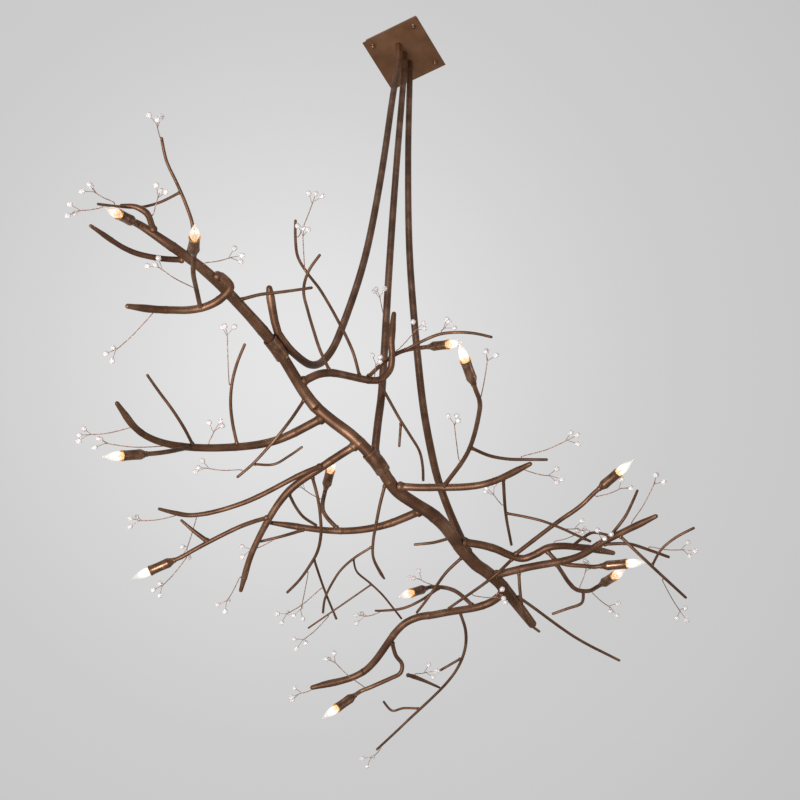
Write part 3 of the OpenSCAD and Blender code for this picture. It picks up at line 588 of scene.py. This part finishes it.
def brass_with_painted_glow_finish():
    """Spun brass: fine lathe rings, warm and bright, dulled in patches, with a faint painted
    amber glow that stands for the lit bulb's light on it.
    """
    material, tree, shader = finish_named("spun_brass_painted_glow")
    place = add(tree, "TexCoord").outputs["Object"]
    dull = add(tree, "TexNoise", {"Vector": place, "Scale": 1 / (6 * MM), "Detail": 4})
    colour = ramp(tree, dull.outputs["Fac"], [(0.35, "#b9873f"), (0.65, "#dba95a")])
    tree.links.new(colour, shader.inputs["Base Color"])
    rough = add(tree, "MapRange", {"Value": dull.outputs["Fac"], "To Min": 0.3, "To Max": 0.5})
    tree.links.new(rough.outputs["Result"], shader.inputs["Roughness"])
    shader.inputs["Metallic"].default_value = 0.6
    # painted light: a faint amber glow on the brass, standing in for the bulb's light on the
    # lining and the screw shell
    shader.inputs["Emission Color"].default_value = linear("#e8a050")
    shader.inputs["Emission Strength"].default_value = 0.25
    return material


brass = brass_with_painted_glow_finish()
print("cups", len(cups), "faces", len(cup_mesh.polygons), "+", len(lining_mesh.polygons))
piece_of("lamp_cup_shells", cup_mesh, cup_bronze, ["lamp_cups"])
piece_of("lamp_cup_linings", lining_mesh, brass)

# %% [markdown]
# ## Lamp holders
# The holder is a moulded black phenolic tube on a short neck, with a rim round its
# mouth. Its brass screw shell shows as a thin ring just inside the mouth, with the same
# painted amber glow as the cup's lining.

# %% Holders
HOLDER = [(0, 19.2), (9.9, 19.2), (10.2, 20), (10.2, 22), (4.6, 22.6), (4.0, 24), (4.0, 26.6),
          (6, 28.4), (8.2, 30), (8.5, 31), (8.5, 50.6), (8.2, 51.2), (8.2, 52), (8.5, 52.6),
          (8.5, 54.4), (8.0, 55), (6.9, 55), (6.55, 54.6), (6.4, 53), (6.4, 35.4), (0, 35.4)]
SHELL = [(6.35, 54.2), (6.6, 54.7), (7.1, 54.95), (7.1, 55.15), (6.5, 55.1), (6.25, 54.4),
         (6.2, 36), (6.35, 36)]
holders, shells = [], []
for k, place in lamps.items():
    holder, shell = spun(HOLDER, 24), spun(SHELL, 24, loop=True)
    for shape in (holder, shell):
        bmesh.ops.transform(shape, matrix=place, verts=shape.verts)
    holders.append(holder)
    shells.append(shell)


def phenolic_finish():
    """Moulded phenolic: a dull brown-black with faint flow marks and a soft sheen."""
    material, tree, shader = finish_named("moulded_phenolic")
    place = add(tree, "TexCoord").outputs["Object"]
    flow = add(tree, "TexNoise", {
        "Vector": place, "Scale": 1 / (4 * MM), "Detail": 3, "Distortion": 1.2})
    colour = ramp(tree, flow.outputs["Fac"], [(0.35, "#171310"), (0.7, "#2a221d")])
    tree.links.new(colour, shader.inputs["Base Color"])
    bump = add(tree, "Bump", {
        "Height": flow.outputs["Fac"], "Strength": 0.2, "Distance": 0.1 * MM})
    tree.links.new(bump.outputs["Normal"], shader.inputs["Normal"])
    shader.inputs["Roughness"].default_value = 0.42
    return material


piece_of("lamp_holder_bodies", joined("holders", holders), phenolic_finish(),
         ["lamp_holders"])
piece_of("lamp_holder_shells", joined("shells", shells), brass)
print("holders", len(holders))

# %% [markdown]
# ## Bulbs
# A candle bulb is blown clear glass drawn out to a long flame tip, cemented into a rolled
# screw cap. It is lit, so the glass round the filament is a soft white that turns amber
# towards the cap and fades to clear glass at the tip. The height of each point up the
# bulb is kept on the mesh as an attribute, and the light follows it. Inside the hollow
# glass stand the pressed mount, its two leads and the filament.

# %% Flame bulbs
BULB_MOUTH = HOLDER_MOUTH + 1
GLASS = [(0, 0), (5.2, 0), (5.9, 0.8), (6.4, 3), (7.3, 6.5), (8.7, 11), (10.2, 16.5),
         (10.95, 21.5), (10.9, 26), (10.3, 31.5), (9.1, 37.5), (7.4, 43.5), (5.6, 49),
         (3.9, 54), (2.4, 58.5), (1.3, 62.5), (0.6, 65.5), (0.25, 66.8), (0, 67)]
HOLLOW = ([(0, 1.2), (4.6, 1.2)] + [(r - 0.6, z) for r, z in GLASS if 2 < z < 60]
          + [(0, 61.5)])
MOUNT = [(0, 1.4), (4.4, 1.4), (4.2, 2.4), (2.6, 6), (1.7, 10), (1.4, 15), (1.7, 17.5),
         (1.5, 19), (0, 19.6)]
LEADS = [[(x * 0.9, 18.5, 0.22), (x * 1.6, 23, 0.22), (x * 2.6, 27.5, 0.22)] for x in (-1, 1)]
FILAMENT = [(-2.6, 27.3, 0.35), (-2.0, 33, 0.35), (-1.3, 38.6, 0.35), (-0.6, 39.6, 0.35),
            (0, 36.5, 0.35), (0.6, 39.6, 0.35), (1.3, 38.6, 0.35), (2.0, 33, 0.35),
            (2.6, 27.3, 0.35)]
CAP = [(0, -19.6), (1.6, -19.6), (2.3, -19), (2.4, -18), (4.2, -16.6), (5.3, -15.8)]
for turn in range(5):
    height = -15 + 2.8 * turn
    CAP += [(5.4, height), (5.85, height + 0.9), (5.9, height + 1.4), (5.5, height + 2.3)]
CAP += [(5.5, -0.9), (5.85, -0.6), (5.85, 0.35), (5.4, 0.5), (0, 0.5)]


def lit_glass_finish():
    """Blown clear glass, lit from inside: light and colour come from the attribute."""
    material, tree, shader = finish_named("blown_clear_glass_lit")
    height = add(tree, "Attribute", attribute_name="height").outputs["Fac"]
    colour = ramp(tree, height, [(0.0, "#ff9a38"), (0.11, "#ffb868"), (0.18, "#fff0dc"),
                                 (0.3, "#fffaf4"), (1.0, "#fffaf4")])
    tree.links.new(colour, shader.inputs["Emission Color"])
    light = ramp(tree, height, [(0.0, "#808080"), (0.11, "#a0a0a0"), (0.2, "#7a7a7a"),
                                (0.45, "#686868"), (0.7, "#505050"), (1.0, "#444444")])
    tree.links.new(light, shader.inputs["Emission Strength"])
    specks = add(tree, "TexNoise", {
        "Vector": add(tree, "TexCoord").outputs["Object"], "Scale": 1 / (9 * MM), "Detail": 2})
    rough = add(tree, "MapRange", {
        "Value": specks.outputs["Fac"], "To Min": 0.02, "To Max": 0.09})
    tree.links.new(rough.outputs["Result"], shader.inputs["Roughness"])
    shader.inputs["Base Color"].default_value = linear("#fbfaf8")
    shader.inputs["Transmission Weight"].default_value = 1
    shader.inputs["IOR"].default_value = 1.5
    return material


def pressed_finish():
    """Pressed lead glass of the mount: milky where it was pinched hot round the leads."""
    material, tree, shader = finish_named("pressed_lead_glass")
    milk = add(tree, "TexNoise", {
        "Vector": add(tree, "TexCoord").outputs["Object"], "Scale": 1 / (3 * MM), "Detail": 2})
    colour = ramp(tree, milk.outputs["Fac"], [(0.35, "#e4e0d8"), (0.65, "#f4f1ea")])
    tree.links.new(colour, shader.inputs["Base Color"])
    shader.inputs["Roughness"].default_value = 0.15
    shader.inputs["Transmission Weight"].default_value = 0.7
    return material


def tungsten_finish():
    """A coiled tungsten filament at full glow, a little cooler towards its ends."""
    material, tree, shader = finish_named("glowing_tungsten_coil")
    coil = add(tree, "TexWave", {
        "Vector": add(tree, "TexCoord").outputs["Object"], "Scale": 1 / (2 * MM)})
    colour = ramp(tree, coil.outputs["Fac"], [(0.2, "#ffe2b8"), (0.8, "#fff6e6")])
    tree.links.new(colour, shader.inputs["Emission Color"])
    shader.inputs["Emission Strength"].default_value = 12
    shader.inputs["Base Color"].default_value = linear("#8c8880")
    shader.inputs["Metallic"].default_value = 1
    return material


def zinc_finish():
    """Zinc-plated steel: pale grey with faint blue and yellow clouds from the bath."""
    material, tree, shader = finish_named("zinc_plated_steel")
    place = add(tree, "TexCoord").outputs["Object"]
    clouds = add(tree, "TexNoise", {"Vector": place, "Scale": 1 / (12 * MM), "Detail": 4})
    colour = ramp(tree, clouds.outputs["Fac"], [
        (0.35, "#a4a7aa"), (0.55, "#b9bab8"), (0.7, "#c3beb0")])
    tree.links.new(colour, shader.inputs["Base Color"])
    rough = add(tree, "MapRange", {"Value": clouds.outputs["Fac"], "To Min": 0.25, "To Max": 0.5})
    tree.links.new(rough.outputs["Result"], shader.inputs["Roughness"])
    shader.inputs["Metallic"].default_value = 1
    return material


glass, zinc = lit_glass_finish(), zinc_finish()
pressed, tungsten = pressed_finish(), tungsten_finish()
for k, place in lamps.items():
    seat = place @ Matrix.Translation((0, 0, BULB_MOUTH * MM))
    for name, outline, steps, material, slot, nodes in (
            ("glass", GLASS, 28, glass, "bulb_glass", [f"bulb_{k}"]),
            ("mount", MOUNT, 12, pressed, "bulb_glass", []),
            ("cap", CAP, 24, zinc, "zinc_steel", [])):
        shapes = [spun(outline, steps)]
        if name == "glass":
            shapes.append(spun(HOLLOW, steps))
            bmesh.ops.reverse_faces(shapes[1], faces=shapes[1].faces)
        for shape in shapes:
            bmesh.ops.transform(shape, matrix=seat, verts=shape.verts)
        mesh = joined(name, shapes, 60)
        if name == "glass":
            inwards = seat.inverted()
            heights = mesh.attributes.new("height", "FLOAT", "POINT")
            for vertex, height in zip(mesh.vertices, heights.data):
                height.value = (inwards @ vertex.co).z / (GLASS[-1][1] * MM)
        piece_of(f"bulb_{k}_{name}", mesh, material, nodes, body=f"bulb_{k}_body")
    for name, wires, material in (("leads", LEADS, zinc), ("filament", [FILAMENT], tungsten)):
        profiles = [[(seat @ Vector((x * MM, 0, z * MM)), thick * MM) for x, z, thick in wire]
                    for wire in wires]
        piece_of(f"bulb_{k}_{name}", swept(name, profiles, 8), material,
                 body=f"bulb_{k}_body")
print("bulbs", len(lamps), "glass length mm", GLASS[-1][1])

# %% [markdown]
# ## Sprigs: twisted copper wire
# Two soft copper wires are twisted together from the twig up to the fork, where they part
# into prongs. The node's islands are the stalks, with a knee and a fork, and the prongs.
# A stalk's middle line carries two strands that wind round each other.

# %% Wires
RING_SPREAD = 1.9 * MM  # points of one ring lie closer in reach than this
STALK_POINTS = 10  # a stalk's island has more points than this


def bead_shapes():
    """(middle, axis, half length, half width) of every bead."""
    shape, islands = islands_of("sprig_beads")
    found = []
    for island in islands:
        points = [v.co.copy() for v in island]
        middle = middle_of(points)
        points.sort(key=lambda p: (p - middle).length)
        reach = points[-1] - middle
        found.append((middle, reach.normalized(), reach.length, (points[0] - middle).length))
    shape.free()
    return found


def wire_lines(bead_tree):
    """(stalks, prongs): middle lines of the sprigs' wires, from root to tip."""
    shape, islands = islands_of("sprig_wires")
    stalks, prongs = [], []
    for island in islands:
        points = [v.co.copy() for v in island]
        tip = min(points, key=lambda p: bead_tree.find(p)[2])
        points.sort(key=lambda p: (p - tip).length)
        groups = [[points[0]]]
        for point in points[1:]:
            if (point - tip).length - (groups[-1][-1] - tip).length > RING_SPREAD:
                groups.append([])
            groups[-1].append(point)
        line = [middle_of(group) for group in reversed(groups)]
        if len(island) > STALK_POINTS:
            stalks.append(line[:-1])
            prongs.append(line[-2:])
        else:
            prongs.append([line[0], line[-1]])
    shape.free()
    return stalks, prongs


bead_list = bead_shapes()
bead_tree = KDTree(len(bead_list))
for i, bead in enumerate(bead_list):
    bead_tree.insert(bead[0], i)
bead_tree.balance()
stalks, prongs = wire_lines(bead_tree)
print("stalks", len(stalks), "of", {len(s) for s in stalks}, "points; prongs", len(prongs))

# %% [markdown]
# ## Winding the strands
# Each half of a stalk runs round the stalk's middle line, half a turn from its partner.
# The long run from knee to fork sags a little, as thin copper does. The prongs are single
# wires.

# %% Strands
STRAND_OFFSET, STRAND_PITCH, STRAND_RADIUS = 0.62 * MM, 8 * MM, 0.76 * MM
STRAND_STEP, PRONG_RADIUS, SAG = 1.6 * MM, 0.7 * MM, 0.06


def strand(points, turn, offset, pitch, radius, step):
    """Points of one strand wound round a middle line."""
    path = smoothed([(p, radius) for p in points], step)
    winding = []
    for i, (place, r, at) in enumerate(path):
        ahead = path[min(i + 1, len(path) - 1)][0] - path[max(i - 1, 0)][0]
        along = ahead.normalized()
        side = along.orthogonal() if i == 0 else side - along * side.dot(along)
        side.normalize()
        angle = turn + math.tau * at / pitch
        out = side * math.cos(angle) + along.cross(side) * math.sin(angle)
        winding.append((place + out * offset, radius))
    return winding


strands = []
for points in stalks:
    knee, fork = points[-2:]
    sag = (knee + fork) / 2 - Vector((0, 0, SAG * (fork - knee).length))
    points = points[:-1] + [sag, fork]
    for half in (0, math.pi):
        strands.append(strand(points, half, STRAND_OFFSET, STRAND_PITCH, STRAND_RADIUS,
                              STRAND_STEP))
for points in prongs:
    strands.append([(p, PRONG_RADIUS) for p in points])
print("strands", len(strands))


def copper_finish():
    """Soft drawn copper wire, lightly oxidised: pinkish brown with brighter rubbed spots."""
    material, tree, shader = finish_named("oxidised_copper_wire")
    place = add(tree, "TexCoord").outputs["Object"]
    spots = add(tree, "TexNoise", {"Vector": place, "Scale": 1 / (7 * MM), "Detail": 4})
    colour = ramp(tree, spots.outputs["Fac"], [
        (0.34, "#7c5848"), (0.5, "#9c7463"), (0.68, "#bd9481")])
    tree.links.new(colour, shader.inputs["Base Color"])
    rough = add(tree, "MapRange", {"Value": spots.outputs["Fac"], "To Min": 0.3, "To Max": 0.5})
    tree.links.new(rough.outputs["Result"], shader.inputs["Roughness"])
    shader.inputs["Metallic"].default_value = 0.7
    return material


copper = copper_finish()
piece_of("sprig_twisted_wires", swept("wires", strands, 8), copper,
         ["sprig_wires"])

# %% [markdown]
# ## Sprigs: crystal beads
# The beads are small faceted drops of cut glass, pale with sparkle. A drop is a ball of
# flat triangles, a little longer than wide, so a hundred and more of them stay light.

# %% Beads
bead_mesh = bmesh.new()
for n, (middle, axis, half, wide) in enumerate(bead_list):
    made = bmesh.ops.create_icosphere(bead_mesh, subdivisions=2, radius=1)["verts"]
    place = (Matrix.Translation(middle) @ axis.to_track_quat("Z", "Y").to_matrix().to_4x4()
             @ Matrix.Rotation(n * 1.1, 4, "Z") @ Matrix.Diagonal((wide, wide, half, 1)))
    bmesh.ops.transform(bead_mesh, matrix=place, verts=made)
beads = bpy.data.meshes.new("beads")
bead_mesh.to_mesh(beads)
bead_mesh.free()


def crystal_finish():
    """Cut lead glass: clear, bright at its facets, with a breath of pink inside."""
    material, tree, shader = finish_named("cut_lead_glass")
    place = add(tree, "TexCoord").outputs["Object"]
    inside = add(tree, "TexNoise", {"Vector": place, "Scale": 1 / (5 * MM), "Detail": 2})
    colour = ramp(tree, inside.outputs["Fac"], [
        (0.35, "#fbf8f7"), (0.55, "#f8f0ee"), (0.7, "#e6d0c9")])
    tree.links.new(colour, shader.inputs["Base Color"])
    shader.inputs["Roughness"].default_value = 0.18
    shader.inputs["Transmission Weight"].default_value = 0.4
    shader.inputs["IOR"].default_value = 1.55
    return material


piece_of("sprig_crystal_beads", beads, crystal_finish(), ["sprig_beads"],
         smooth=False)
print("beads", len(bead_list), "faces", len(beads.polygons))

# %% [markdown]
# ## Canopy and its fixings
# The cover, the plate and the hidden fixings keep their CAD shapes and get their
# finishes. The four ball nuts are turned brass, bronzed like the cover, and are spun
# again with a flange, a neck and a ball.

# %% Canopy
for node, material in (("canopy", canopy_bronze_painted_light), ("ceiling_plate", zinc),
                       ("canopy_studs", zinc), ("stiffener", zinc), ("stem_nipples", zinc),
                       ("stem_nuts", zinc)):
    NODES[node].data.materials.clear()
    NODES[node].data.materials.append(material)

BALL = [(0, 0), (7.2, 0), (7.6, -0.6), (7.4, -1.8), (5.2, -2.6), (4.4, -3.6), (5.2, -4.8),
        (6.3, -6.8), (6.9, -9.2), (6.8, -11.4), (5.9, -13.4), (4.2, -14.9), (2.1, -15.7),
        (0, -16)]
shape, islands = islands_of("ball_nuts")
nuts = []
for island in islands:
    points = [v.co for v in island]
    low, high = (Vector(f(p[i] for p in points) for i in range(3)) for f in (min, max))
    print("ball nut mm", [round(v / MM, 1) for v in (*low, *high)])
    nut = spun(BALL, 24)
    scale = (high.z - low.z) / (-BALL[-1][1] * MM)
    bmesh.ops.scale(nut, vec=(1, 1, scale), verts=nut.verts)
    centre = (low + high) / 2
    bmesh.ops.translate(nut, verts=nut.verts, vec=(centre.x, centre.y, high.z))
    nuts.append(nut)
shape.free()
piece_of("ball_nut_knobs", joined("nuts", nuts), cup_bronze, ["ball_nuts"])

# %% [markdown]
# ## World, light and backdrop
# A pale studio: faint light from all round, a large soft panel a little below and left
# of the camera, and three weak ones for the far sides. The backdrop is the world as the
# camera and the shiny surfaces see it, palest just left of the picture's middle.

# %% Studio
scene = bpy.context.scene
scene.view_settings.view_transform = "Standard"
world = bpy.data.worlds.new("studio")
scene.world = world
world.use_nodes = True
tree = world.node_tree
for node in list(tree.nodes):
    tree.nodes.remove(node)
seen_ray = add(tree, "LightPath")
heading = add(tree, "TexCoord").outputs["Generated"]
middle = (forward - 0.058 * right + 0.023 * above).normalized()
nearness = add(tree, "VectorMath", {0: heading, 1: middle}, operation="DOT_PRODUCT")
glow = ramp(tree, add(tree, "MapRange", {
    "Value": nearness.outputs["Value"], "From Min": 0.8, "From Max": 1.0}).outputs[0],
    [(0.0, "#b2b2b2"), (0.6, "#c0c0c0"), (0.84, "#cbcbcb"), (0.88, "#cccccc"),
     (0.917, "#d0d0d0"), (0.95, "#d5d5d5"), (0.978, "#dcdcdc"), (1.0, "#e5e5e5")])
backdrop = add(tree, "Background", {"Color": glow, "Strength": 1})
fill = add(tree, "Background", {"Color": linear("#dcdcdc"), "Strength": 0.4})
shiny = add(tree, "Math", {0: seen_ray.outputs["Is Glossy Ray"],
                           1: seen_ray.outputs["Is Transmission Ray"]}, operation="MAXIMUM")
straight = add(tree, "Math", {0: seen_ray.outputs["Is Camera Ray"],
                              1: shiny.outputs[0]}, operation="MAXIMUM")
mixed = add(tree, "MixShader", {
    0: straight.outputs[0], 1: fill.outputs[0], 2: backdrop.outputs[0]})
tree.links.new(mixed.outputs[0], add(tree, "OutputWorld").inputs["Surface"])


def panel(name, at, towards, side, power):
    """A square soft light at a place, facing a point."""
    data = bpy.data.lights.new(name, "AREA")
    data.size = side
    data.energy = power
    light = bpy.data.objects.new(name, data)
    light.location = at
    light.rotation_euler = (Vector(towards) - Vector(at)).to_track_quat("-Z", "Y").to_euler()
    bpy.context.collection.objects.link(light)


key_at = camera_at - 1.0 * above - 1.4 * right + 0.4 * forward
panel("key", key_at, (0, 0, -1.8), 2.0, 310)
panel("high", (-2.3, -0.6, 0.8), (0, 0, -1.4), 1.2, 15)
panel("left", (-1.2, 4.0, -2.4), (0, 0, -1.8), 1.6, 20)
panel("right", (2.2, -3.4, -2.6), (0, 0, -1.8), 1.6, 20)

# %% [markdown]
# ## Floor
# A plain pale painted floor far below the fitting. The photo's view looks up past it.

# %% Floor
FLOOR_Z, FLOOR_HALF = -5.6, 14
floor_shape = bmesh.new()
bmesh.ops.create_grid(floor_shape, x_segments=1, y_segments=1, size=FLOOR_HALF)
bmesh.ops.translate(floor_shape, verts=floor_shape.verts, vec=(0, 0, FLOOR_Z))
floor_mesh = bpy.data.meshes.new("floor")
floor_shape.to_mesh(floor_mesh)
floor_shape.free()
floor_paint, floor_tree, floor_shader = finish_named("pale_floor_paint")
floor_shader.inputs["Base Color"].default_value = linear("#ececec")
floor_shader.inputs["Roughness"].default_value = 0.9
floor_mesh.materials.append(floor_paint)
floor = bpy.data.objects.new("floor", floor_mesh)
bpy.context.collection.objects.link(floor)
print("floor at", FLOOR_Z)
